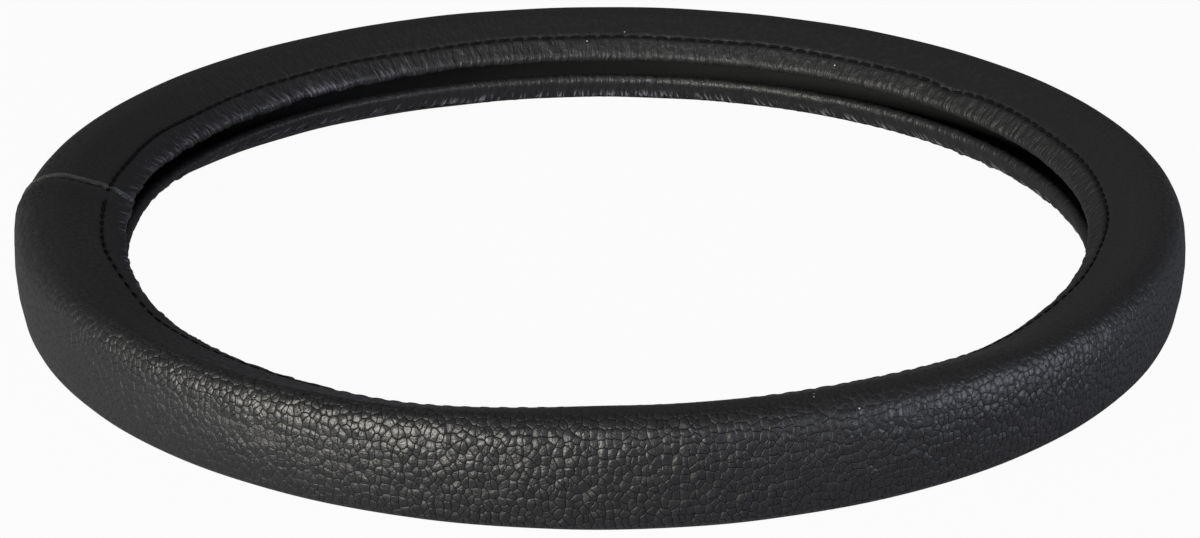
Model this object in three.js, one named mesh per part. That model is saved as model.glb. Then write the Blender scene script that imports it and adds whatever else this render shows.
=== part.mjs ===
// Slip-on steering wheel cover: a rubber ring with a C-shaped section, wrapped in one strip of
// leatherette whose hems are turned round the two lips, gathered, and sewn down.
// Millimetres and degrees, +Z up. The origin is the centre of the ring, level with its mouth.
// The section is drawn in the half-plane of ring radius r and height z. Its spine runs through
// the middle of the rubber, and every surface is an offset from that spine.

import * as THREE from 'three';

// Sizes seen from outside
const outerDiameter = 380;
const stitchInset = 26.5;
const crownRadius = 60;

// Upper half of the section, from the outer wall to the lip
const upperCrownHeight = 9;
const upperShoulderRadius = 9.3;
const upperFlatWidth = 1.6;
const upperSlopeAngle = 24;
const upperLipReach = 4.5;
const upperLipTurn = 16;

// Lower half, squarer at the shoulder, with the flat that the cover lies on
const lowerCrownHeight = 13.5;
const lowerShoulderRadius = 5.6;
const lowerFlatWidth = 4.5;
const lowerSlopeAngle = 20;
const lowerLipReach = 3.6;
const lowerLipTurn = 38;

// Bends between flat and slope, and where each lip droops from the stitch line
const slopeBendRadius = 10;
const lipBendRadius = 8;

// The wall's layers; the rubber thins towards the edge of each lip
const leatherThickness = 1.2;
const skinClearance = 0.3;
const rubberThickness = 3;
const lipEdgeThickness = 1.2;

// Hems, gathers and the stitch line in its groove
const hemPastStitch = 4;
const gatherCount = 96;
const gatherDepth = 1;
const grooveHalfWidth = 1.2;
const grooveDepth = 0.7;

// Sewing thread, and how far it stands clear of the leather under it
const threadWidth = 1;
const threadHeight = 0.7;
const threadClearance = 0.36;

// The cross seam: a raised ridge, a sunk topstitch at its foot, and the allowance folded under
const seamAzimuth = 181.6;
const seamLeanAngle = 4.2;
const ridgeWidth = 1.2;
const ridgeHeight = 0.7;
const ridgeFlank = 1;
const topstitchSink = 0.3;
const allowanceWidth = 12;
const allowanceHeight = 1;
const pressedDepth = 2;
const topstitchMargin = 1.5;

// Fineness of the mesh
const bays = 48;
const foldsPerBay = 4;
const lipBendSteps = 2;

const outerRadius = outerDiameter / 2;
const stitchRadius = outerRadius - stitchInset;
const degree = Math.PI / 180;
const quarterTurn = 90;
const buildUp = leatherThickness + skinClearance + rubberThickness / 2;

// Places on the spine: where it is, which way it runs, and half the rubber's thickness there.
function place(r, z, heading, half = rubberThickness / 2, girth = 0) {
  return { r, z, heading, half, girth };
}

function straight(from, length) {
  return place(
    from.r + length * Math.cos(from.heading * degree),
    from.z + length * Math.sin(from.heading * degree),
    from.heading, from.half, from.girth + length);
}

function arc(from, radius, turn, steps) {
  const places = [];
  const centreR = from.r - radius * Math.sin(from.heading * degree);
  const centreZ = from.z + radius * Math.cos(from.heading * degree);
  for (let i = 1; i <= steps; i++) {
    const heading = from.heading + (turn * i) / steps;
    places.push(place(
      centreR + radius * Math.sin(heading * degree),
      centreZ - radius * Math.cos(heading * degree),
      heading, from.half, from.girth + (radius * turn * degree * i) / steps));
  }
  return places;
}

// Distance along a slope, from a place to where the leather over it has the given ring radius.
function lengthToRadius(from, radius) {
  const outsideR = from.r + buildUp * Math.sin(from.heading * degree);
  return (radius - outsideR) / Math.cos(from.heading * degree);
}

// Half a section, as if it were the upper one, from the wall's middle to the lip's edge.
function halfSpine(shape) {
  const wall = place(outerRadius - buildUp, 0, quarterTurn);
  const crownTurn = Math.asin(shape.crownHeight / crownRadius) / degree;
  const crown = arc(wall, crownRadius - buildUp, crownTurn, 1);
  const shoulder = arc(
    crown.at(-1), shape.shoulderRadius - buildUp, quarterTurn - crownTurn, shape.shoulderSteps);
  const flatEnd = straight(shoulder.at(-1), shape.flatWidth);
  const slopeStart = arc(flatEnd, slopeBendRadius - buildUp, shape.slopeAngle, 1)[0];
  const toStitch = lengthToRadius(slopeStart, stitchRadius);
  const stitch = straight(slopeStart, toStitch);
  const lip = arc(stitch, lipBendRadius - buildUp, shape.lipTurn, lipBendSteps);
  lip.push(straight(lip.at(-1), shape.lipReach));
  lip.forEach((at, i) => {
    at.half = THREE.MathUtils.lerp(rubberThickness, lipEdgeThickness, (i + 1) / lip.length) / 2;
  });
  return {
    wall,
    body: [...crown, ...shoulder, flatEnd, slopeStart],
    topstitchEnd: straight(slopeStart, toStitch - grooveHalfWidth - topstitchMargin),
    grooveOuter: straight(slopeStart, toStitch - grooveHalfWidth),
    hemEnd: straight(slopeStart, toStitch - hemPastStitch),
    stitch,
    grooveInner: straight(slopeStart, toStitch + grooveHalfWidth),
    lip,
    lipEdge: lip.at(-1),
  };
}

// The lower half is the same drawing turned over.
function turnedOver(part) {
  if (Array.isArray(part)) return part.map(turnedOver);
  return { ...part, z: -part.z, heading: -part.heading, girth: -part.girth, under: true };
}

const upper = halfSpine({
  crownHeight: upperCrownHeight,
  shoulderRadius: upperShoulderRadius,
  shoulderSteps: 4,
  flatWidth: upperFlatWidth,
  slopeAngle: upperSlopeAngle,
  lipReach: upperLipReach,
  lipTurn: upperLipTurn,
});
const lowerUpright = halfSpine({
  crownHeight: lowerCrownHeight,
  shoulderRadius: lowerShoulderRadius,
  shoulderSteps: 3,
  flatWidth: lowerFlatWidth,
  slopeAngle: lowerSlopeAngle,
  lipReach: lowerLipReach,
  lipTurn: lowerLipTurn,
});
const lower = Object.fromEntries(
  Object.entries(lowerUpright).map(([name, part]) => [name, turnedOver(part)]));

// A point of the section: offset from a spine place, to the outside when the offset is positive.
// At the lip's edge, swing turns the direction round the end, from 0 outside to 180 inside.
function sectionPoint(at, offset, swing = 0) {
  const side = at.under ? -1 : 1;
  const direction = (at.heading - quarterTurn * side + swing * side) * degree;
  const nr = Math.cos(direction);
  const nz = Math.sin(direction);
  return { r: at.r + offset * nr, z: at.z + offset * nz, nr, nz, girth: at.girth };
}

const leatherOutside = (at, swing) => sectionPoint(at, at.half + skinClearance + leatherThickness, swing);
const leatherBack = (at, swing) => sectionPoint(at, at.half + skinClearance, swing);
const rubberFace = (at, swing) => sectionPoint(at, at.half, swing);
const channelSide = 2 * quarterTurn;

// The cover lies on its lower flat, so the seam is pressed level there: its share of the full height
// grows with the height above that flat.
const restHeight = leatherOutside(lower.body.at(-2)).z;
function seamShare(point) {
  return THREE.MathUtils.clamp((point.z - restHeight) / pressedDepth, 0, 1);
}

// Azimuths of the bays' edges. The seam's own edges stand in for the regular one beside it.
const seamBodyRadius = (outerRadius + stitchRadius) / 2;
const acrossSeam = (millimetres) => millimetres / seamBodyRadius / degree;
const threadFoot = ridgeWidth / 2 + ridgeFlank + topstitchSink;
const seamEdges = [
  { across: -ridgeWidth / 2 - ridgeFlank, height: 0 },
  { across: -ridgeWidth / 2, height: ridgeHeight },
  { across: ridgeWidth / 2, height: ridgeHeight },
  { across: threadFoot, height: -topstitchSink, thread: true },
  { across: threadFoot + threadWidth, height: topstitchSink },
  { across: threadFoot + allowanceWidth / 2, height: allowanceHeight },
  { across: threadFoot + allowanceWidth, height: 0 },
].map((edge) => ({ ...edge, azimuth: seamAzimuth + acrossSeam(edge.across) }));

const bayAngle = 360 / bays;
const regularEdges = [];
for (let i = 0; i < bays; i++) {
  const azimuth = i * bayAngle;
  if (Math.abs(azimuth - seamAzimuth - acrossSeam(threadFoot)) > bayAngle) {
    regularEdges.push({ azimuth, height: 0 });
  }
}
const edges = [...regularEdges, ...seamEdges].sort((a, b) => a.azimuth - b.azimuth);

// The seam leans along the ring, more for each millimetre round the section. The bays beside it
// follow, and those far from it stay radial.
const leanReachAngle = 30;
function leaned(azimuth, girth) {
  const away = Math.abs(azimuth - seamAzimuth);
  const share = THREE.MathUtils.clamp((leanReachAngle - away) / (leanReachAngle - bayAngle), 0, 1);
  return azimuth - share * seamLeanAngle * (girth / upper.stitch.girth);
}

// How high the leather is lifted by a gather at an azimuth: folds that swell and fade round the ring.
function gatherLift(azimuth) {
  const swell = 0.75 + 0.15 * Math.sin(3 * azimuth * degree + 1) + 0.1 * Math.sin(7 * azimuth * degree);
  return gatherDepth * swell * (0.15 + 0.5 * Math.cos(gatherCount * azimuth * degree));
}

function inSpace(point, lift, azimuth) {
  const r = point.r + lift * point.nr;
  const z = point.z + lift * point.nz;
  return new THREE.Vector3(r * Math.cos(azimuth * degree), r * Math.sin(azimuth * degree), z);
}

// One loop of points round the cover, bay by bay. A bay holds its first edge and the points up to
// the next one: just one in a plain loop, several in a folded loop.
function loop(point, { lift = 0, seam = 0, lean = false, gather = 0 } = {}) {
  return edges.map((edge, i) => {
    const next = edges[(i + 1) % edges.length];
    const width = (next.azimuth - edge.azimuth + 360) % 360;
    const steps = gather && width > bayAngle / 2 ? foldsPerBay : 1;
    const bay = [];
    for (let step = 0; step < steps; step++) {
      const azimuth = edge.azimuth + (width * step) / steps;
      const folded = gather * gatherLift(azimuth);
      const raised = seam * seamShare(point) * edge.height * (1 - step / steps);
      bay.push(inSpace(point, lift + folded + raised, lean ? leaned(azimuth, point.girth) : azimuth));
    }
    return bay;
  });
}

// Joins loops, listed once round the section, into one closed solid.
function solidOfLoops(loops) {
  const positions = [];
  const index = [];
  const numbered = loops.map((bayList) => bayList.map((bay) => bay.map((point) => {
    positions.push(point.x, point.y, point.z);
    return positions.length / 3 - 1;
  })));
  numbered.forEach((here, k) => {
    const there = numbered[(k + 1) % numbered.length];
    here.forEach((bay, i) => {
      const a = [...bay, here[(i + 1) % here.length][0]];
      const b = [...there[i], there[(i + 1) % there.length][0]];
      let p = 0;
      let q = 0;
      while (p < a.length - 1 || q < b.length - 1) {
        const stepB = p === a.length - 1 || (q + 0.5) * (a.length - 1) <= (p + 0.5) * (b.length - 1);
        if (stepB && q < b.length - 1) {
          index.push(a[p], b[q], b[q + 1]);
          q += 1;
        } else {
          index.push(a[p], b[q], a[p + 1]);
          p += 1;
        }
      }
    });
  });
  const geometry = new THREE.BufferGeometry();
  geometry.setAttribute('position', new THREE.Float32BufferAttribute(positions, 3));
  geometry.setIndex(index);
  geometry.computeVertexNormals();
  return geometry;
}

function mesh(name, geometry, material) {
  const piece = new THREE.Mesh(geometry, material);
  piece.name = name;
  return piece;
}

// The rubber ring: up over the outside from lip to lip, then back along the channel.
const rubberCap = [60, 120];

function rubberOutside(half) {
  return [...half.body, half.stitch, ...half.lip].map((at) => loop(rubberFace(at)));
}

function rubberInside(half) {
  return [...half.lip.toReversed(), half.stitch, ...half.body.toReversed()]
    .map((at) => loop(rubberFace(at, channelSide)));
}

function rubberCore() {
  return solidOfLoops([
    ...rubberCap.toReversed().map((swing) => loop(rubberFace(upper.lipEdge, swing))),
    ...rubberOutside(upper).toReversed(),
    loop(rubberFace(upper.wall)),
    ...rubberOutside(lower),
    ...rubberCap.map((swing) => loop(rubberFace(lower.lipEdge, swing))),
    ...rubberInside(lower),
    loop(rubberFace(upper.wall, channelSide)),
    ...rubberInside(upper).toReversed(),
  ]);
}

// The leather: its outside from hem to hem, then its back against the rubber.
const capSteps = [
  { swing: 45, gather: 0.8, seam: 0.6 },
  { swing: 90, gather: 0.5, seam: 0.3 },
  { swing: 135 },
  { swing: 180 },
];

function hemOutside(half) {
  const sewn = { lean: true, seam: 1 };
  return [
    ...half.body.map((at) => loop(leatherOutside(at), sewn)),
    loop(leatherOutside(half.grooveOuter), sewn),
    loop(leatherOutside(half.stitch), { ...sewn, lift: -grooveDepth }),
    loop(leatherOutside(half.grooveInner), sewn),
    ...half.lip.slice(1).map((at) => loop(leatherOutside(at), { ...sewn, gather: 1 })),
    ...capSteps.map(({ swing, ...form }) =>
      loop(leatherOutside(half.lipEdge, swing), { lean: true, ...form })),
    ...[half.lip[1], half.stitch, half.hemEnd].map((at) => loop(leatherOutside(at, channelSide))),
  ];
}

function hemBack(half) {
  return [
    ...[half.hemEnd, half.stitch, ...half.lip].map((at) => loop(leatherBack(at, channelSide))),
    ...rubberCap.toReversed().map((swing) => loop(leatherBack(half.lipEdge, swing))),
    ...[...half.lip.toReversed(), half.stitch, ...half.body.toReversed()].map((at) => loop(leatherBack(at))),
  ];
}

function leatherCover() {
  return solidOfLoops([
    ...hemOutside(upper).toReversed(),
    loop(leatherOutside(upper.wall), { lean: true, seam: 1 }),
    ...hemOutside(lower),
    ...hemBack(lower),
    loop(leatherBack(upper.wall)),
    ...hemBack(upper).toReversed(),
  ]);
}

// A ring of hem thread: a four-sided section that lies in the stitch groove.
function hemThread(half) {
  const side = half.stitch.under ? -1 : 1;
  const bed = leatherOutside(half.stitch);
  const alongR = bed.nz * side;
  const alongZ = -bed.nr * side;
  const middle = threadClearance + threadHeight / 2 - grooveDepth;
  const corner = (along, up) => loop(
    { ...bed, r: bed.r + along * alongR, z: bed.z + along * alongZ },
    { lift: middle + up, lean: true, seam: 1 });
  const outward = (threadWidth / 2) * side;
  return solidOfLoops([
    corner(-outward, 0),
    corner(0, threadHeight / 2),
    corner(outward, 0),
    corner(0, -threadHeight / 2),
  ]);
}

// The topstitch thread beside the cross seam, from the upper stitch groove over the wall, and down
// to where the cover's own weight presses the seam flat.
function seamThread() {
  const path = [upper.topstitchEnd, ...upper.body.toReversed(), upper.wall, ...lower.body]
    .map((at) => leatherOutside(at))
    .filter((point) => seamShare(point) === 1);
  const foot = seamEdges.find((edge) => edge.thread);
  const bottom = foot.height + threadClearance;
  const halfAngle = acrossSeam(threadWidth / 2);
  const corners = path.map((point) => {
    const azimuth = leaned(foot.azimuth, point.girth);
    return [
      inSpace(point, bottom, azimuth),
      inSpace(point, bottom + threadHeight / 2, azimuth - halfAngle),
      inSpace(point, bottom + threadHeight, azimuth),
      inSpace(point, bottom + threadHeight / 2, azimuth + halfAngle),
    ];
  });
  const sides = corners[0].length;
  const last = (corners.length - 1) * sides;
  const index = [0, 1, 2, 0, 2, 3, last, last + 2, last + 1, last, last + 3, last + 2];
  for (let k = 0; k < last; k += sides) {
    for (let i = 0; i < sides; i++) {
      const next = (i + 1) % sides;
      index.push(k + i, k + sides + i, k + sides + next, k + i, k + sides + next, k + next);
    }
  }
  const geometry = new THREE.BufferGeometry().setFromPoints(corners.flat());
  geometry.setIndex(index);
  geometry.computeVertexNormals();
  return geometry;
}

const leatherette = new THREE.MeshStandardMaterial({ color: 0x2b2b2c, roughness: 0.55, metalness: 0 });
const rubber = new THREE.MeshStandardMaterial({ color: 0x1a1a1a, roughness: 0.85, metalness: 0 });
const thread = new THREE.MeshStandardMaterial({ color: 0x121212, roughness: 0.8, metalness: 0 });

const cover = new THREE.Group();
cover.add(
  mesh('rubber_core_ring', rubberCore(), rubber),
  mesh('leather_cover', leatherCover(), leatherette),
  mesh('upper_hem_stitching', hemThread(upper), thread),
  mesh('lower_hem_stitching', hemThread(lower), thread),
  mesh('cross_seam_stitching', seamThread(), thread),
);

export default cover;
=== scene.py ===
from math import asin, cos, pi, radians, sin, tau

import bmesh
import bpy
import numpy as np
from mathutils import Matrix, Vector


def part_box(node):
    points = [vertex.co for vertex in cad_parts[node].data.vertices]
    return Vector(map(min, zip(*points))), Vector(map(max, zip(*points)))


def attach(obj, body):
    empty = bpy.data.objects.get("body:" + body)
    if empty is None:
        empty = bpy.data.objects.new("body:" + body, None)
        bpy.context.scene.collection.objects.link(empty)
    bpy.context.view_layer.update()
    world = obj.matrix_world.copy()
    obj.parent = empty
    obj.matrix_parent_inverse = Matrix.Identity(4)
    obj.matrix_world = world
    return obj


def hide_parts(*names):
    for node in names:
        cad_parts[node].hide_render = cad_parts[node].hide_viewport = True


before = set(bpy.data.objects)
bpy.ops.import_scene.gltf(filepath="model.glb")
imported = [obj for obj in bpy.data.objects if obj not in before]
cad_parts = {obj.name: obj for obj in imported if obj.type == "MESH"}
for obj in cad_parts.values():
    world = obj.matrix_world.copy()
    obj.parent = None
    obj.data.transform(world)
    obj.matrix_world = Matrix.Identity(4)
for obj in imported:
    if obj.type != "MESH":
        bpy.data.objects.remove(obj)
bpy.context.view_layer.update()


# The rubber core: one moulded ring of black rubber with a C-shaped section, open towards the
# wheel's centre, with lips that thin towards their edges. It gives the cover its form and grips
# the rim.

MM = 0.001
outer_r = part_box("leather_cover")[1][1] / MM
stitch_inset = 26.5
stitch_r = outer_r - stitch_inset
crown_r = 60.0
slope_bend_r = 10.0
near_stitch = 3.0
lip_bend_r = 8.0
lip_bend_steps = 3
leather_thick = 1.2
skin_gap = 0.3
rubber_thick = 3.0
lip_edge_thick = 1.2
build_up = leather_thick + skin_gap + rubber_thick / 2

# Each half of the section, from the middle of the outer wall to the edge of its lip. The sizes are
# the leather's outside, and angles are in degrees.
upper_shape = dict(crown_height=9.0, shoulder_r=9.3, flat=1.6, slope=24.0, reach=4.5, turn=16.0)
lower_shape = dict(crown_height=13.5, shoulder_r=5.6, flat=4.5, slope=20.0, reach=3.6, turn=38.0)


def straight(path, length, steps=1):
    r, z, heading, half = path[-1]
    for i in range(1, steps + 1):
        way = length * i / steps
        path.append((r + way * cos(heading), z + way * sin(heading), heading, half))


def arc(path, radius, turn, steps):
    r, z, heading, half = path[-1]
    centre = (r - radius * sin(heading), z + radius * cos(heading))
    for i in range(1, steps + 1):
        now = heading + turn * i / steps
        path.append((centre[0] + radius * sin(now), centre[1] - radius * cos(now), now, half))


def half_spine(shape, fine):
    """The middle of the rubber from wall to lip: ring radius, height, heading, half thickness.

    fine is 1 on the upper half, which is seen from near, and adds steps to its long curves."""
    path = [(outer_r - build_up, 0.0, pi / 2, rubber_thick / 2)]
    crown_turn = asin(shape["crown_height"] / crown_r)
    arc(path, crown_r - build_up, crown_turn, steps=2)
    arc(path, shape["shoulder_r"] - build_up, pi / 2 - crown_turn, steps=4 + 2 * fine)
    straight(path, shape["flat"])
    arc(path, slope_bend_r - build_up, radians(shape["slope"]), steps=2)
    r, z, heading, half = path[-1]
    to_stitch = (stitch_r - r - build_up * sin(heading)) / cos(heading)
    straight(path, to_stitch - near_stitch, steps=2 + 2 * fine)
    straight(path, near_stitch, steps=3 + fine)
    stitch = len(path) - 1
    arc(path, lip_bend_r - build_up, radians(shape["turn"]), lip_bend_steps)
    straight(path, shape["reach"], steps=3 + fine)
    lip_steps = len(path) - 1 - stitch
    for i in range(1, lip_steps + 1):
        r, z, heading, half = path[stitch + i]
        path[stitch + i] = (r, z, heading, half - i / lip_steps * (rubber_thick - lip_edge_thick) / 2)
    return path, stitch


def offset(at, distance, swing=0.0):
    """A point beside the spine and its outward normal; swing turns round the edge, 0 to pi."""
    r, z, heading, _ = at
    nr, nz = cos(heading - pi / 2 + swing), sin(heading - pi / 2 + swing)
    return (r + distance * nr, z + distance * nz, nr, nz)


def turned_over(points):
    return [(r, -z, nr, -nz) for r, z, nr, nz in points]


def deselect_all():
    if bpy.context.object and bpy.context.object.mode == "EDIT":
        bpy.ops.object.mode_set(mode="OBJECT")
    bpy.ops.object.select_all(action="DESELECT")


def linear(hex_colour):
    channels = [int(hex_colour[i:i + 2], 16) / 255 for i in (1, 3, 5)]
    return tuple(c / 12.92 if c <= 0.04045 else ((c + 0.055) / 1.055) ** 2.4 for c in channels) + (1.0,)


def new_material(name):
    material = bpy.data.materials.new(name)
    material.use_nodes = True
    return material, material.node_tree, material.node_tree.nodes["Principled BSDF"]


def node(tree, kind, links=(), **settings):
    """One node with its settings; links are (socket, value or source socket) pairs.

    A Mix node's factor and two colours are its sockets 0, 6 and 7, and its result is output 2."""
    made = tree.nodes.new(kind)
    for key, value in settings.items():
        setattr(made, key, value)
    for socket, source in links:
        if isinstance(source, bpy.types.NodeSocket):
            tree.links.new(source, made.inputs[socket])
        else:
            made.inputs[socket].default_value = source
    return made


def fade(value, start, end):
    """0 before the start and 1 after the end, with a smooth rise between."""
    share = np.clip((value - start) / (end - start), 0.0, 1.0)
    return share * share * (3 - 2 * share)


def bump(value, middle, half):
    """1 at the middle, falling off smoothly on both sides."""
    return np.exp(-((value - middle) / half) ** 2)


spine_up, stitch_up = half_spine(upper_shape, fine=1)
spine_down, stitch_down = half_spine(lower_shape, fine=0)
lip_r = min(at[0] for at in spine_up + spine_down) - lip_edge_thick / 2 - skin_gap - leather_thick

# The soft ring lies a little out of shape: its lips are further to the right, its top sinks
# towards the hole at the left front and a little at the right front, and its lower lip is
# pushed up at the left back. At the far left the lips are pushed in. Places round the ring are
# azimuths in degrees: 0 is the right, 90 the back, 180 the left and 270 the front.
lip_shift = 1.2
left_sag, right_sag, front_sag = 4.3, 2.2, 0.7
sag_start, left_sag_end, front_sag_end = (200, 217), (246, 272), (330, 350)
right_sag_middle, right_sag_half = 314, 12
left_lift, lift_start, lift_end = 4.0, (100, 150), (162, 178)
left_push, push_middle, push_half = 2.2, 188, 14
# The sag and the lift are whole this far above and below the middle, and end at these radii
settle_height = 12.0
sag_wall, lift_wall = (175.0, 188.0), (163.0, 178.0)
push_past_stitch = 4.0


def settle(r, z, azimuth):
    """Where a point of the plain ring lies once the ring has settled."""
    turn = np.degrees(azimuth) % 360
    inner = (outer_r - r) / (outer_r - lip_r)
    left = fade(turn, *sag_start) * (1 - fade(turn, *left_sag_end))
    right = bump(turn, right_sag_middle, right_sag_half)
    front = fade(turn, *sag_start) * (1 - fade(turn, *front_sag_end))
    sag = (left_sag - front_sag) * left + right_sag * right + front_sag * front
    raised = left_lift * fade(turn, *lift_start) * (1 - fade(turn, *lift_end))
    over = fade(z, 0.0, settle_height) * (1 - fade(r, *sag_wall))
    under = fade(-z, 0.0, settle_height) * (1 - fade(r, *lift_wall))
    pushed = left_push * bump(turn, push_middle, push_half)
    r = r - pushed * (1 - fade(r, lip_r, stitch_r + push_past_stitch))
    return r * np.cos(azimuth) + lip_shift * inner, r * np.sin(azimuth), z - sag * over + raised * under


rubber_cap = [pi * i / 4 for i in range(1, 4)]


def rubber_half(spine):
    outside = [offset(at, at[3]) for at in spine]
    end = [offset(spine[-1], spine[-1][3], swing) for swing in rubber_cap]
    inside = [offset(at, -at[3]) for at in reversed(spine)]
    return outside + end + inside


rubber_profile = rubber_half(spine_up) + turned_over(reversed(rubber_half(spine_down)))[1:-1]
ring_steps = 240

rubber_mesh = bpy.data.meshes.new("rubber_core")
profile_at = [(r * MM, 0.0, z * MM) for r, z, _, _ in rubber_profile]
profile_ring = [(i, (i + 1) % len(profile_at)) for i in range(len(profile_at))]
rubber_mesh.from_pydata(profile_at, profile_ring, [])
rubber_core = bpy.data.objects.new("rubber_core", rubber_mesh)
bpy.context.collection.objects.link(rubber_core)
deselect_all()
bpy.context.view_layer.objects.active = rubber_core
rubber_core.select_set(True)
bpy.ops.object.mode_set(mode="EDIT")
bpy.ops.mesh.select_all(action="SELECT")
bpy.ops.mesh.spin(steps=ring_steps, angle=tau, center=(0, 0, 0), axis=(0, 0, 1))
bpy.ops.mesh.select_all(action="SELECT")
bpy.ops.mesh.remove_doubles(threshold=0.00001)
bpy.ops.mesh.normals_make_consistent(inside=False)
bpy.ops.object.mode_set(mode="OBJECT")
bpy.ops.object.shade_smooth()
round_at = np.empty(3 * len(rubber_mesh.vertices))
rubber_mesh.vertices.foreach_get("co", round_at)
x, y, z = round_at.reshape(-1, 3).T / MM
settled = np.stack(settle(np.hypot(x, y), z, np.arctan2(y, x)), axis=-1) * MM
rubber_mesh.vertices.foreach_set("co", settled.ravel())

# Moulded rubber: matt and near black, with the faint mottle of a spark-eroded mould.
mottle_per_mm = 0.9
grit_depth = 0.2
rubber_black, tree, shader = new_material("moulded_rubber")
place = node(tree, "ShaderNodeTexCoord").outputs["Object"]
mottle = node(tree, "ShaderNodeTexNoise", [
    ("Vector", place), ("Scale", mottle_per_mm / MM), ("Detail", 3.0)])
tone = node(tree, "ShaderNodeMix", [
    (0, mottle.outputs[0]), (6, linear("#101010")), (7, linear("#1b1b1b"))], data_type="RGBA")
tree.links.new(tone.outputs[2], shader.inputs["Base Color"])
grit = node(tree, "ShaderNodeBump", [
    ("Strength", 0.4), ("Distance", grit_depth * MM), ("Height", mottle.outputs[0])])
tree.links.new(grit.outputs[0], shader.inputs["Normal"])
shader.inputs["Roughness"].default_value = 0.8
shader.inputs["Specular IOR Level"].default_value = 0.3
rubber_mesh.materials.append(rubber_black)
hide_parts("rubber_core_ring")
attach(rubber_core, "root")


# The leather cover: one strip of black leatherette pulled tight round the rubber. Both hems are
# turned round the lips and gathered under the stitches, and its ends meet at one leaning seam.

rng = np.random.default_rng(7)
stitch_count = 190
stitch_pitch = tau / stitch_count
lie_z = -max(at[1] for at in spine_down) - build_up
skin = skin_gap + leather_thick
leather_cap = [pi * i / 7 for i in range(1, 8)]
hem_past_stitch = 4.0


def hem_tail(at):
    """The hem's end in the channel, back along the slope from the stitch line."""
    return (at[0] - hem_past_stitch * cos(at[2]), at[1] - hem_past_stitch * sin(at[2]), at[2], at[3])


def leather_half(spine, stitch):
    """The leather's outside from the wall to the hem's end in the channel."""
    bend_end = spine[stitch + lip_bend_steps]
    outside = [offset(at, at[3] + skin) for at in spine]
    end = [offset(spine[-1], spine[-1][3] + skin, swing) for swing in leather_cap]
    back = [offset(at, -(at[3] + skin)) for at in (bend_end, spine[stitch], hem_tail(spine[stitch]))]
    return outside + end + back


def thinned(path, most_turn=radians(31), most_span=10.0):
    """Every few places of a path, never more than a turn or a span apart."""
    kept = [path[0]]
    for at, after in zip(path[1:], path[2:]):
        span = ((after[0] - kept[-1][0]) ** 2 + (after[1] - kept[-1][1]) ** 2) ** 0.5
        if after[2] - kept[-1][2] > most_turn or span > most_span:
            kept.append(at)
    return kept + [path[-1]]


def leather_back(spine, stitch):
    """The leather's face against the rubber, from the hem's end in the channel to the wall."""
    bend_end = spine[stitch + lip_bend_steps]
    hem = (hem_tail(spine[stitch]), spine[stitch], bend_end)
    inside = [offset(at, -(at[3] + skin_gap)) for at in hem]
    end = [offset(spine[-1], spine[-1][3] + skin_gap, swing) for swing in (pi, 2 * pi / 3, pi / 3)]
    body = thinned(spine[:stitch + 1]) + [bend_end, spine[-1]]
    return inside + end + [offset(at, at[3] + skin_gap) for at in reversed(body)]


def along(points):
    """Distance round the section from the first point, in millimetres."""
    steps = np.hypot(np.diff([p[0] for p in points]), np.diff([p[1] for p in points]))
    return np.concatenate([[0.0], np.cumsum(steps)])


# A place on the leather is a turn round the ring from the cross seam, and a girth: the distance
# round the section from the middle of the outer wall, up over the top or, below 0, underneath.
# nose is how far the lip's edge is past the stitch line.
half_up = leather_half(spine_up, stitch_up)
half_down = leather_half(spine_down, stitch_down)
girth_up, girth_down = along(half_up), along(half_down)
sewn_up, sewn_down = girth_up[stitch_up], girth_down[stitch_down]
nose_up, nose_down = girth_up[-6] - sewn_up, girth_down[-6] - sewn_down
outside = np.array(half_up[::-1] + turned_over(half_down[1:]))
girth = np.concatenate([girth_up[::-1], -girth_down[1:]])

# Columns round the ring, closer together at the seam
even_columns, close_columns = 980, 16
seam_azimuth = radians(181.6)
seam_r = (outer_r + stitch_r) / 2
near_seam = 5.0 / seam_r
even = np.linspace(near_seam, tau - near_seam, even_columns)
close = np.linspace(0.0, near_seam, close_columns)[:-1]
turn = np.concatenate([close, even, tau - close[:0:-1]])


def from_seam(turns):
    """The turn from the seam the shorter way, -pi to pi."""
    return (turns + pi) % tau - pi


def wave(turns, counts, phases):
    """A smooth wander round the ring that closes on itself, about -1 to 1."""
    return sum(np.sin(n * turns + p) for n, p in zip(counts, phases)) / len(counts) ** 0.5


# The seam leans by this much from the wall to the stitch line, and the strip on either side of it
# leans with it, less and less
seam_lean = radians(4.2)
lean_end, lean_span = radians(30), radians(22.5)


def lean(turns, s):
    share = np.clip((lean_end - np.abs(from_seam(turns))) / lean_span, 0.0, 1.0)
    return share * seam_lean * s / sewn_up


# The upper hem's line wanders by half a millimetre, and runs off and back where the sewing ended
hem_drift = 0.35
drift_counts = (5, 11, 19)
upper_phases, lower_phases = (0.4, 2.0, 5.1), (1.7, 0.2, 3.3)
jog_turn = (radians(40.0) - seam_azimuth) % tau
jog_half = radians(2.6)
jog_depth = 1.5


def hem_wander(turns, upper):
    drift = hem_drift * wave(turns, drift_counts, upper_phases if upper else lower_phases)
    if upper:
        drift = drift + jog_depth * bump(turns, jog_turn, jog_half)
    return drift


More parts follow.
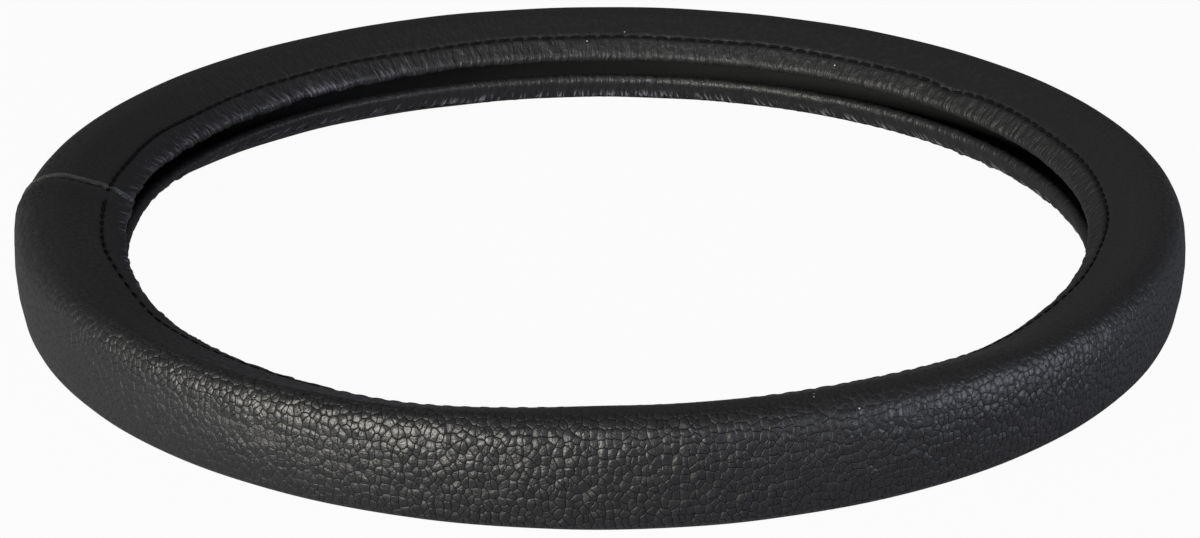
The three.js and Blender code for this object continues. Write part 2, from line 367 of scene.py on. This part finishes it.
# Gathers are small puckers over wider folds. Heights are in millimetres, each with what it gains
# or loses on the way to the lip's edge. For a quarter of the ring at the seam the upper lip is
# smooth by the stitches and is puckered at its edge only.
pucker_pitch, fold_pitch = 4.4, 9.5
puff_sunk = 0.35
gather_start, gather_end = (0.2, 2.2), (2.0, 6.0)
edge_start = 1.5
lower_pucker, lower_fold = 0.9, 0.5
lower_share, lower_share_lost = 0.9, 0.55
upper_pucker, upper_pucker_lost = 0.6, 0.25
seam_pucker, seam_pucker_gained = 0.08, 0.9
upper_fold, upper_fold_gained = 0.25, 0.6
fold_share, seam_fold_gained = 0.35, 0.45
seam_side_middle, seam_side_end = 0.25, (1.1, 1.6)
pitch_spread, height_spread = (0.6, 1.4), (0.35, 1.0)
slant_most, slant_counts = 0.45, (23, 37, 61)
bend_reach, bend_count, bend_per_mm = 0.5, 71, 0.9
roundness = 2.4


def puffs(turns, past, pitch, radius):
    """Gathered leather: rounded puffs between narrow, leaning creases, 0 to 1."""
    creases = [0.0]
    while creases[-1] < tau:
        creases.append(creases[-1] + pitch * rng.uniform(*pitch_spread) / radius)
    creases = np.array(creases)
    height = rng.uniform(*height_spread, len(creases))
    slant = slant_most * wave(turns, slant_counts, rng.uniform(0, tau, 3))
    bent = bend_reach * np.sin(bend_count * turns + bend_per_mm * past + 1.0)
    moved = (turns + (slant * past + bent) / radius) % tau
    place = np.clip(np.searchsorted(creases, moved, side="right") - 1, 0, len(creases) - 2)
    across = (moved - creases[place]) / (creases[place + 1] - creases[place])
    return height[place] * (1 - np.abs(2 * across - 1) ** roundness)


def beside_seam(turns):
    """1 on the quarter of the ring at the cross seam, where the upper lip is gathered least."""
    return 1 - fade(np.abs(from_seam(turns) - seam_side_middle), *seam_side_end)


def gather_lift(turns, past, nose, upper):
    """Height of the gathers at a distance past the stitches, towards the lip's edge."""
    reach = fade(past, *gather_start) * (1 - fade(past, nose + gather_end[0], nose + gather_end[1]))
    small = puffs(turns, past, pucker_pitch, lip_r) - puff_sunk
    large = puffs(turns, past, fold_pitch, lip_r) - puff_sunk
    to_edge = fade(past, edge_start, nose)
    if not upper:
        share = lower_share - lower_share_lost * to_edge
        return reach * share * (lower_pucker * small + lower_fold * large)
    beside = beside_seam(turns)
    away_pucker = upper_pucker - upper_pucker_lost * to_edge
    beside_pucker = seam_pucker + seam_pucker_gained * to_edge ** 2
    puckers = (1 - beside) * away_pucker + beside * beside_pucker
    folds = (upper_fold + upper_fold_gained * to_edge) * (fold_share + seam_fold_gained * beside)
    return reach * (puckers * small + folds * large)


# The cross seam: its ridge, the groove of the topstitch at the ridge's foot on the near side, and
# the allowance folded under beside it
ridge_height, ridge_half = 0.8, 0.95
foot_depth, foot_across, foot_half = 0.4, 2.1, 0.6
fold_height, fold_start, fold_width = 1.0, 1.8, 13.5


def seam_lift(across):
    """Height of the joined ends at a distance from the seam, positive on its near side."""
    ridge = ridge_height * np.exp(-np.abs(across / ridge_half) ** 3)
    foot = -foot_depth * bump(across, foot_across, foot_half)
    fold = fold_height * np.sin(pi * np.clip((across - fold_start) / fold_width, 0.0, 1.0)) ** 1.4
    return ridge + foot + fold


# The thread pulls a groove all along the hem, dimpled at its needle holes and under each stitch.
# Elsewhere the hand-pulled leather is uneven by a tenth of a millimetre.
uneven, uneven_counts, uneven_phases, uneven_girth = 0.12, (7, 13, 29), (0.3, 1.9, 4.4), 9.0
groove_depth, groove_half = 0.75, 0.85
hole_depth, hole_half = 0.5, 0.7


def lift(turns, s):
    """How far the leather's outside stands off its plain section, in millimetres."""
    total = uneven * wave(turns, uneven_counts, uneven_phases) * np.cos(s / uneven_girth)
    for upper, sewn, nose in ((True, sewn_up, nose_up), (False, sewn_down, nose_down)):
        side = s if upper else -s
        past = side - sewn - hem_wander(turns, upper)
        groove = -groove_depth * bump(past, 0.0, groove_half)
        holes = -hole_depth * bump(past, 0.0, hole_half) * np.cos(stitch_count * turns) ** 8
        total = total + groove + holes + np.where(side > 0, gather_lift(turns, past, nose, upper), 0.0)
    return total


def on_section(s):
    """The plain outside at a girth: ring radius, height and normal."""
    order = np.argsort(girth)
    return [np.interp(s, girth[order], outside[order, i]) for i in range(4)]


def on_leather(turns, s, above=0.0):
    """A point on the plain leather, raised along its outward normal, and that normal, in metres."""
    r, z, nr, nz = on_section(s)
    r, z = r + above * nr, z + above * nz
    azimuth = seam_azimuth + turns - lean(turns, s)
    spot = Vector(settle(r, z, azimuth)) * MM
    normal = Vector((nr * cos(azimuth), nr * sin(azimuth), nz)).normalized()
    return spot, normal


# The relief ends before the hem does, and nothing stands out of the flat that the cover lies on
hem_end_bare, hem_end_full = 2.0, 9.0
pressed_height = 2.0
at_girth, at_turn = np.meshgrid(girth, turn, indexing="ij")
off_hem_end = fade(girth_up[-1] - np.abs(at_girth), hem_end_bare, hem_end_full)
pressed = np.clip((outside[:, 1][:, None] - lie_z) / pressed_height, 0.0, 1.0)
raised = lift(at_turn, at_girth) * off_hem_end
raised += seam_lift((from_seam(turn) * seam_r)[None, :]) * pressed * off_hem_end
flat_rows = np.abs(outside[:, 1] - lie_z) < 0.01
raised[flat_rows] = np.minimum(raised[flat_rows], 0.0)

azimuth = seam_azimuth + at_turn - lean(at_turn, at_girth)
r = outside[:, 0][:, None] + raised * outside[:, 2][:, None]
z = outside[:, 1][:, None] + raised * outside[:, 3][:, None]
front = np.stack(settle(r, z, azimuth), axis=-1) * MM

lining_down = turned_over(leather_back(spine_down, stitch_down))
lining_up = leather_back(spine_up, stitch_up)[-2::-1]
lining_r, lining_z = np.array(lining_down + lining_up)[:, :2].T[:, :, None]
plain_turn = np.ones_like(lining_r) * (seam_azimuth + turn)
behind = np.stack(settle(lining_r, lining_z, plain_turn), axis=-1) * MM

grid = np.concatenate([front, behind])
n_rows, n_columns = grid.shape[:2]
here = np.arange(n_rows * n_columns).reshape(n_rows, n_columns)
below = np.roll(here, -1, axis=0)
corners = [here, below, np.roll(below, -1, axis=1), np.roll(here, -1, axis=1)]
quads = np.stack(corners, axis=-1).reshape(-1, 4)
leather_mesh = bpy.data.meshes.new("leather_skin")
leather_mesh.from_pydata(grid.reshape(-1, 3).tolist(), [], quads.tolist())
leather = bpy.data.objects.new("leather_skin", leather_mesh)
bpy.context.collection.objects.link(leather)
leather_mesh.shade_smooth()

# What the material reads at each point: its place on the strip in millimetres, and that place
# slanted at the ring's sides, as the painted glint streaks are; how gathered it is, how stretched,
# where the lips' edges get painted glints, and how near the seam's ridge, for its painted highlight
strip_girth = np.concatenate([at_girth, np.zeros_like(behind[:, :, 0])])
strip_along = np.broadcast_to(turn * seam_r, strip_girth.shape)
strip = np.stack([strip_along, strip_girth, np.zeros_like(strip_girth)], axis=-1)
azimuth_at = np.degrees(seam_azimuth + turn)[None, :] % 360
slanted = strip.copy()
slanted[:, :, 0] -= np.cos(np.radians(azimuth_at)) * np.abs(strip_girth)

# Both lips are gathered from the stitch line on, the upper one less at the seam, and the lower one
# less towards its edge
over_lip_start, over_lip_lost = (-0.5, 3.0), 0.75
under_lip_start, under_lip_end, under_lip_lost = (-0.5, 1.0), (3.0, 7.0), 0.6
past_up, past_down = strip_girth - sewn_up, -strip_girth - sewn_down
beside = beside_seam(turn)[None, :] * np.ones_like(strip_girth)
over_lip = fade(past_up, *over_lip_start)
under_lip = fade(past_down, *under_lip_start) * (1 - under_lip_lost * fade(past_down, *under_lip_end))
gathered = np.maximum(over_lip * (1 - over_lip_lost * beside), under_lip)

# The painted glint streaks lie along the lower hem, and weaker before the upper lip's edge beside the
# seam
lower_streaks_start, lower_streaks_end = (-0.6, 0.4), (2.0, 7.0)
upper_streaks, streaks_start, streaks_full, streaks_end = 0.4, 7.0, 3.5, 1.5
lower_edge = fade(past_down, *lower_streaks_start) * (1 - fade(past_down, *lower_streaks_end))
upper_edge = fade(past_up, nose_up - streaks_start, nose_up - streaks_full)
upper_edge = upper_edge * (1 - fade(past_up, nose_up - streaks_end, nose_up))
# Where the lips' edges get pale streaks of painted glints
painted_glints = np.maximum(lower_edge, upper_streaks * upper_edge * beside)

# The grain is pulled flat past the shoulders, and part flat on the wall and shoulder from the left
# towards the front and on the shoulder from the front to the right
shoulder_start, shoulder_end = 17.0, 25.0
part_flat = 0.6
left_start, left_wall_end, left_shoulder_end = (182, 200), (232, 262), (212, 228)
right_start = (276, 300)
wall_end, right_shoulder_start = (4.0, 11.0), (3.0, 12.0)
ridge_highlight_half = 0.9
left_wall = (1 - fade(azimuth_at, *left_wall_end)) * (1 - fade(strip_girth, *wall_end))
left_shoulder = 1 - fade(azimuth_at, *left_shoulder_end)
left_flat = part_flat * fade(azimuth_at, *left_start) * np.maximum(left_wall, left_shoulder)
right_flat = part_flat * fade(azimuth_at, *right_start) * fade(strip_girth, *right_shoulder_start)
stretched = fade(np.abs(strip_girth), shoulder_start, shoulder_end)
for flattened in (over_lip, under_lip, left_flat, right_flat):
    stretched = np.maximum(stretched, flattened)
# Where the seam's ridge gets its painted highlight, a lighter grey
ridged = bump(from_seam(turn) * seam_r, 0.0, ridge_highlight_half) * (strip_girth != 0.0)

for name, values in (("strip_mm", strip), ("glint_slant_mm", slanted)):
    leather_mesh.attributes.new(name, "FLOAT_VECTOR", "POINT").data.foreach_set("vector", values.ravel())
for name, values in (("gathered", gathered), ("stretched", stretched), ("seam_ridge", ridged),
                     ("painted_glints", painted_glints)):
    leather_mesh.attributes.new(name, "FLOAT", "POINT").data.foreach_set("value", values.ravel())

# Leatherette: embossed PVC on cloth, semi-matt black. Its pebbles are longer across the strip,
# pillowed between creases with painted shade in them, and swell and fade from place to place. They
# are nearly flat where the leather is stretched. On the gathers fine creases run across the strip,
# and the edges of the lips have pale streaks of painted glints. The seam's ridge has a painted
# highlight, a lighter grey. Heights are in millimetres.
pebble_along, pebble_across = 2.1, 2.7
wobble_pitch, wobble_reach = 4.0, 1.8
dome_fall, valley_width, wall_height = 0.58, 0.09, 0.09
swell_per_mm, swell_least, swell_most = 0.12, 0.7, 1.3
stretched_loss = 0.78
fine_per_mm, fine_height = 1.4, 0.19
crease_pitch, crease_length = 2.2, 8.0
crease_height, crease_gathered = 0.1, 0.38
streak_per_mm = (0.8, 0.12, 1.0)
valley_rough, dome_rough, gathered_rough = 0.62, 0.41, 0.12
dome_shine, valley_shine = 0.48, 0.12
leatherette, tree, shader = new_material("leatherette")
strip_at = node(tree, "ShaderNodeAttribute", attribute_name="strip_mm").outputs["Vector"]
gathered_at = node(tree, "ShaderNodeAttribute", attribute_name="gathered").outputs["Fac"]
stretched_at = node(tree, "ShaderNodeAttribute", attribute_name="stretched").outputs["Fac"]
ridge_at = node(tree, "ShaderNodeAttribute", attribute_name="seam_ridge").outputs["Fac"]
painted_glints_at = node(tree, "ShaderNodeAttribute", attribute_name="painted_glints").outputs["Fac"]
glint_slant_at = node(tree, "ShaderNodeAttribute", attribute_name="glint_slant_mm").outputs["Vector"]

wobble = node(tree, "ShaderNodeTexNoise", [
    ("Vector", strip_at), ("Scale", 1 / wobble_pitch), ("Detail", 2.0)])
shifted = node(tree, "ShaderNodeVectorMath", [
    (0, wobble.outputs[1]), (1, (wobble_reach, wobble_reach, 0.0))], operation="MULTIPLY")
warped = node(tree, "ShaderNodeVectorMath", [(0, strip_at), (1, shifted.outputs[0])], operation="ADD")
pebble_at = node(tree, "ShaderNodeMapping", [
    ("Vector", warped.outputs[0]), ("Scale", (1 / pebble_along, 1 / pebble_across, 1.0))])
cells = node(tree, "ShaderNodeTexVoronoi", [
    ("Vector", pebble_at.outputs[0]), ("Scale", 1.0), ("Smoothness", 0.15), ("Randomness", 0.85)],
    feature="SMOOTH_F1", voronoi_dimensions="2D")
borders = node(tree, "ShaderNodeTexVoronoi", [
    ("Vector", pebble_at.outputs[0]), ("Scale", 1.0), ("Randomness", 0.85)],
    feature="DISTANCE_TO_EDGE", voronoi_dimensions="2D")
squared = node(tree, "ShaderNodeMath", [(0, cells.outputs["Distance"]), (1, 2.0)], operation="POWER")
domes = node(tree, "ShaderNodeMath", [
    (0, squared.outputs[0]), (1, -dome_fall), (2, 1.0)], operation="MULTIPLY_ADD")
valleys = node(tree, "ShaderNodeMapRange", [
    ("Value", borders.outputs["Distance"]), ("From Min", 0.0), ("From Max", valley_width)],
    interpolation_type="SMOOTHSTEP")
walled = node(tree, "ShaderNodeMath", [
    (0, valleys.outputs[0]), (1, wall_height), (2, domes.outputs[0])], operation="MULTIPLY_ADD")
fading = node(tree, "ShaderNodeTexNoise", [
    ("Vector", strip_at), ("Scale", swell_per_mm), ("Detail", 2.0)])
swell = node(tree, "ShaderNodeMapRange", [
    ("Value", fading.outputs[0]), ("From Min", 0.3), ("From Max", 0.7),
    ("To Min", swell_least), ("To Max", swell_most)])
pebbled = node(tree, "ShaderNodeMath", [
    (0, walled.outputs[0]), (1, swell.outputs[0])], operation="MULTIPLY")

fine_noise = node(tree, "ShaderNodeTexNoise", [
    ("Vector", strip_at), ("Scale", fine_per_mm), ("Detail", 3.0)])
crease_at = node(tree, "ShaderNodeMapping", [
    ("Vector", warped.outputs[0]), ("Scale", (1 / crease_pitch, 1 / crease_length, 1.0))])
crease_noise = node(tree, "ShaderNodeTexNoise", [
    ("Vector", crease_at.outputs[0]), ("Scale", 1.0), ("Detail", 2.0), ("Roughness", 0.5)])
crease_lines = node(tree, "ShaderNodeMapRange", [
    ("Value", crease_noise.outputs[0]), ("From Min", 0.36), ("From Max", 0.64)])
crease_share = node(tree, "ShaderNodeMath", [
    (0, gathered_at), (1, crease_gathered), (2, crease_height)], operation="MULTIPLY_ADD")
grained = node(tree, "ShaderNodeMath", [
    (0, fine_noise.outputs[0]), (1, fine_height)], operation="MULTIPLY")
creased = node(tree, "ShaderNodeMath", [
    (0, crease_lines.outputs[0]), (1, crease_share.outputs[0]), (2, grained.outputs[0])],
    operation="MULTIPLY_ADD")
pebble_share = node(tree, "ShaderNodeMath", [
    (0, stretched_at), (1, -stretched_loss), (2, 1.0)], operation="MULTIPLY_ADD")
relief = node(tree, "ShaderNodeMath", [
    (0, pebbled.outputs[0]), (1, pebble_share.outputs[0]), (2, creased.outputs[0])],
    operation="MULTIPLY_ADD")
emboss = node(tree, "ShaderNodeBump", [
    ("Strength", 1.0), ("Distance", MM), ("Height", relief.outputs[0])])
tree.links.new(emboss.outputs[0], shader.inputs["Normal"])

# Painted shade: the colour darkens in the pebbles' creases, where shade falls, and the same share lowers
# their shine
gaps = node(tree, "ShaderNodeMath", [(0, 1.0), (1, valleys.outputs[0])], operation="SUBTRACT")
crease_shade = node(tree, "ShaderNodeMath", [
    (0, gaps.outputs[0]), (1, pebble_share.outputs[0])], operation="MULTIPLY")
tone = node(tree, "ShaderNodeMix", [
    (0, crease_shade.outputs[0]), (6, linear("#161618")), (7, linear("#040404"))], data_type="RGBA")
# Painted highlight: the seam's ridge turns a lighter grey, for the light line along it
ridge_highlight = node(tree, "ShaderNodeMix", [
    (0, ridge_at), (6, tone.outputs[2]), (7, linear("#3a3a38"))], data_type="RGBA")
# Painted glints: pale lavender streaks along the lips' edges, standing in for the glints that they catch
streak_at = node(tree, "ShaderNodeMapping", [("Vector", glint_slant_at), ("Scale", streak_per_mm)])
streaks = node(tree, "ShaderNodeTexNoise", [
    ("Vector", streak_at.outputs[0]), ("Scale", 1.0), ("Detail", 3.0)])
streaked = node(tree, "ShaderNodeMapRange", [
    ("Value", streaks.outputs[0]), ("From Min", 0.54), ("From Max", 0.72)])
pale_share = node(tree, "ShaderNodeMath", [
    (0, streaked.outputs[0]), (1, painted_glints_at)], operation="MULTIPLY")
paled = node(tree, "ShaderNodeMix", [
    (0, pale_share.outputs[0]), (6, ridge_highlight.outputs[2]), (7, linear("#a8a4b0"))], data_type="RGBA")

# Six specks of dust: their places along the strip from the seam, and up from the wall
speck_radius = 0.24
specks = ((728.5, 43.8), (332.1, 23.8), (331.3, 21.7), (342.1, 14.3), (834.1, 42.2), (818.7, 37.6))
dusty = paled.outputs[2]
for speck in specks:
    away = node(tree, "ShaderNodeVectorMath", [(0, strip_at), (1, (*speck, 0.0))], operation="DISTANCE")
    on_speck = node(tree, "ShaderNodeMath", [
        (0, away.outputs[1]), (1, speck_radius)], operation="LESS_THAN")
    dusty = node(tree, "ShaderNodeMix", [
        (0, on_speck.outputs[0]), (6, dusty), (7, linear("#b4b4b0"))], data_type="RGBA").outputs[2]
tree.links.new(dusty, shader.inputs["Base Color"])

gloss = node(tree, "ShaderNodeMapRange", [
    ("Value", walled.outputs[0]), ("From Min", 0.7), ("From Max", 1.05),
    ("To Min", valley_rough), ("To Max", dome_rough)])
matter = node(tree, "ShaderNodeMath", [
    (0, gathered_at), (1, gathered_rough), (2, gloss.outputs[0])], operation="MULTIPLY_ADD")
tree.links.new(matter.outputs[0], shader.inputs["Roughness"])
shine = node(tree, "ShaderNodeMapRange", [
    ("Value", crease_shade.outputs[0]), ("To Min", dome_shine), ("To Max", valley_shine)])
tree.links.new(shine.outputs[0], shader.inputs["Specular IOR Level"])
leather_mesh.materials.append(leatherette)


# The hem stitches: bonded black thread, one lockstitch line on each lip all the way round. Each
# stitch is a short, plump strand that dives into a needle hole at both ends.

stitch_length, thread_width, thread_height = 4.3, 1.0, 0.75
hem_sunk = 0.32
end_share = 0.2


def strand(name, length, width, height):
    """One stitch along X at the origin, thinning to its ends."""
    deselect_all()
    bpy.ops.mesh.primitive_uv_sphere_add(segments=8, ring_count=8, radius=0.5 * MM)
    made = bpy.context.object
    made.name = name
    bpy.ops.object.mode_set(mode="EDIT")
    bpy.ops.transform.rotate(value=pi / 2, orient_axis="Y", center_override=(0, 0, 0))
    bpy.ops.transform.resize(value=(length, width, height), center_override=(0, 0, 0))
    bpy.ops.object.mode_set(mode="OBJECT")
    return made


def sewn_line(name, pattern, places):
    """Copies of one stitch, each laid at its place, with its own mesh, in one object."""
    line = bmesh.new()
    for spot, normal, heading in places:
        copy = pattern.data.copy()
        side = normal.cross(heading).normalized()
        forward = side.cross(normal).normalized()
        turned = Matrix((forward, side, normal)).transposed().to_4x4()
        copy.transform(Matrix.Translation(spot) @ turned)
        line.from_mesh(copy)
        bpy.data.meshes.remove(copy)
    mesh = bpy.data.meshes.new(name)
    line.to_mesh(mesh)
    line.free()
    mesh.shade_smooth()
    made = bpy.data.objects.new(name, mesh)
    bpy.context.collection.objects.link(made)
    return made


# Bonded polyester thread: matt black plies, twisted round each other along the strand.
ply_pitch = 0.6
twist_depth = 0.2
bonded_thread, tree, shader = new_material("bonded_thread")
place = node(tree, "ShaderNodeTexCoord").outputs["Object"]
plies = node(tree, "ShaderNodeTexNoise", [
    ("Vector", place), ("Scale", 1 / (ply_pitch * MM)), ("Detail", 2.0)])
tone = node(tree, "ShaderNodeMix", [
    (0, plies.outputs[0]), (6, linear("#020202")), (7, linear("#080808"))], data_type="RGBA")
tree.links.new(tone.outputs[2], shader.inputs["Base Color"])
twist = node(tree, "ShaderNodeBump", [
    ("Strength", 0.5), ("Distance", twist_depth * MM), ("Height", plies.outputs[0])])
tree.links.new(twist.outputs[0], shader.inputs["Normal"])
shader.inputs["Roughness"].default_value = 0.85
shader.inputs["Specular IOR Level"].default_value = 0.15

hem_strand = strand("hem_strand", stitch_length, thread_width, thread_height)
for upper, sewn, replaced in (
        (True, sewn_up, "upper_hem_stitching"), (False, sewn_down, "lower_hem_stitching")):
    places = []
    for i in range(stitch_count):
        at = (i + 0.5) * stitch_pitch
        ends = []
        for near in (at - end_share * stitch_pitch, at, at + end_share * stitch_pitch):
            s = sewn + hem_wander(near, upper)
            ends.append(on_leather(near, s if upper else -s, -hem_sunk))
        heading = (ends[2][0] - ends[0][0]).normalized()
        places.append((ends[1][0], ends[1][1], heading))
    line = sewn_line(replaced.replace("stitching", "stitches"), hem_strand, places)
    line.data.materials.append(bonded_thread)
    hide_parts(replaced)
    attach(line, "root")
bpy.data.objects.remove(hem_strand)


# The cross seam's topstitch: the same thread in a finer stitch, sunk along the foot of the ridge on
# its near side. It is pressed in deeper near the flat that the cover lies on.

topstitch_pitch, topstitch_length, topstitch_width, topstitch_height = 3.0, 2.2, 0.75, 0.5
topstitch_foot = foot_across / seam_r
topstitch_to_hem = 2.6
topstitch_sunk, pressed_sunk, near_flat = 0.28, 0.34, 1.5
topstitch_end = 0.6
seam_strand = strand("seam_strand", topstitch_length, topstitch_width, topstitch_height)
places = []
s = sewn_up - topstitch_to_hem
while s > -(sewn_down - topstitch_to_hem):
    _, z_here, _, _ = on_section(s)
    sunk = topstitch_sunk if z_here - lie_z > near_flat else pressed_sunk
    steps = (-topstitch_end, 0.0, topstitch_end)
    ends = [on_leather(topstitch_foot, s + step, -sunk) for step in steps]
    places.append((ends[1][0], ends[1][1], (ends[2][0] - ends[0][0]).normalized()))
    s -= topstitch_pitch
topstitches = sewn_line("cross_seam_stitches", seam_strand, places)
topstitches.data.materials.append(bonded_thread)
bpy.data.objects.remove(seam_strand)
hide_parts("cross_seam_stitching")
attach(topstitches, "root")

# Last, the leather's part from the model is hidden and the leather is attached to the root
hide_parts("leather_cover")
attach(leather, "root")


# The table: a plain, matt floor that the camera sees as near white, with the part's shadow on it,
# and that throws less light back at the part. It lies a hair below the leather, so that their
# flats don't share a plane.

floor_gap = 0.05
floor_size = 40
glow_seen, glow_thrown = 0.88, 0.08
floor_z = (lie_z - floor_gap) * MM
deselect_all()
bpy.ops.mesh.primitive_plane_add(size=floor_size, location=(0, 0, floor_z))
floor = bpy.context.object
floor.name = "floor"
pale_ground, tree, shader = new_material("pale_ground")
shader.inputs["Base Color"].default_value = linear("#85858f")
shader.inputs["Roughness"].default_value = 0.9
shader.inputs["Specular IOR Level"].default_value = 0.0
rays = node(tree, "ShaderNodeLightPath")
glow = node(tree, "ShaderNodeEmission", [("Color", (1, 1, 1, 1)), ("Strength", 1.0)])
share = node(tree, "ShaderNodeMath", [
    (0, rays.outputs["Is Camera Ray"]), (1, glow_seen), (2, glow_thrown)], operation="MULTIPLY_ADD")
ground = node(tree, "ShaderNodeMixShader", [
    (0, share.outputs[0]), (1, shader.outputs[0]), (2, glow.outputs[0])])
tree.links.new(ground.outputs[0], tree.nodes["Material Output"].inputs["Surface"])
floor.data.materials.append(pale_ground)

# The light: a warm softbox low at the front left, which draws the highlight on the left shoulder, a
# weak, cool one at the right and another in front, a faint one overhead, and a dim room that the
# camera sees as white.
room_share = 0.125
bpy.context.scene.world = bpy.data.worlds.new("pale_room")
bpy.context.scene.world.use_nodes = True
tree = bpy.context.scene.world.node_tree
rays = node(tree, "ShaderNodeLightPath")
seen = node(tree, "ShaderNodeMath", [
    (0, rays.outputs["Is Camera Ray"]), (1, 1.0 - room_share), (2, room_share)], operation="MULTIPLY_ADD")
tree.links.new(seen.outputs[0], tree.nodes["Background"].inputs["Strength"])
tree.nodes["Background"].inputs["Color"].default_value = (1, 1, 1, 1)

warm = (1.0, 0.98, 0.9)
cool = (0.84, 0.88, 1.0)
lamps = (
    ("left_softbox", (-1.08, -1.24, 0.38), (0.8, 0.7), 58.0, warm),
    ("right_softbox", (1.3, -0.4, 0.3), (0.4, 0.5), 9.0, cool),
    ("front_softbox", (0.4, -1.5, 1.0), (1.2, 0.6), 5.0, cool),
    ("top", (0.1, 0.3, 1.9), (0.7, 0.7), 0.8, warm),
)
for name, spot, (wide, high), power, colour in lamps:
    light = bpy.data.lights.new(name, "AREA")
    light.shape = "RECTANGLE"
    light.size = wide
    light.size_y = high
    light.energy = power
    light.color = colour
    lamp = bpy.data.objects.new(name, light)
    lamp.location = spot
    lamp.rotation_euler = (-Vector(spot)).to_track_quat("-Z", "Y").to_euler()
    bpy.context.collection.objects.link(lamp)

# The camera: about a metre away and 22 degrees up, aimed a little below the ring's centre.
camera_away = 1.029
camera_raise = radians(21.72)
aim_drop = radians(0.824)
camera_roll = radians(-0.22)
camera = bpy.data.objects.new("camera", bpy.data.cameras.new("camera"))
camera.data.sensor_width = 36.0
camera.data.lens = 93.6
camera.location = (0, -camera_away * cos(camera_raise), camera_away * sin(camera_raise))
tilt = Matrix.Rotation(pi / 2 - camera_raise - aim_drop, 4, "X")
camera.rotation_euler = (tilt @ Matrix.Rotation(camera_roll, 4, "Z")).to_euler()
bpy.context.collection.objects.link(camera)
bpy.context.scene.camera = camera
bpy.context.scene.view_settings.view_transform = "Standard"
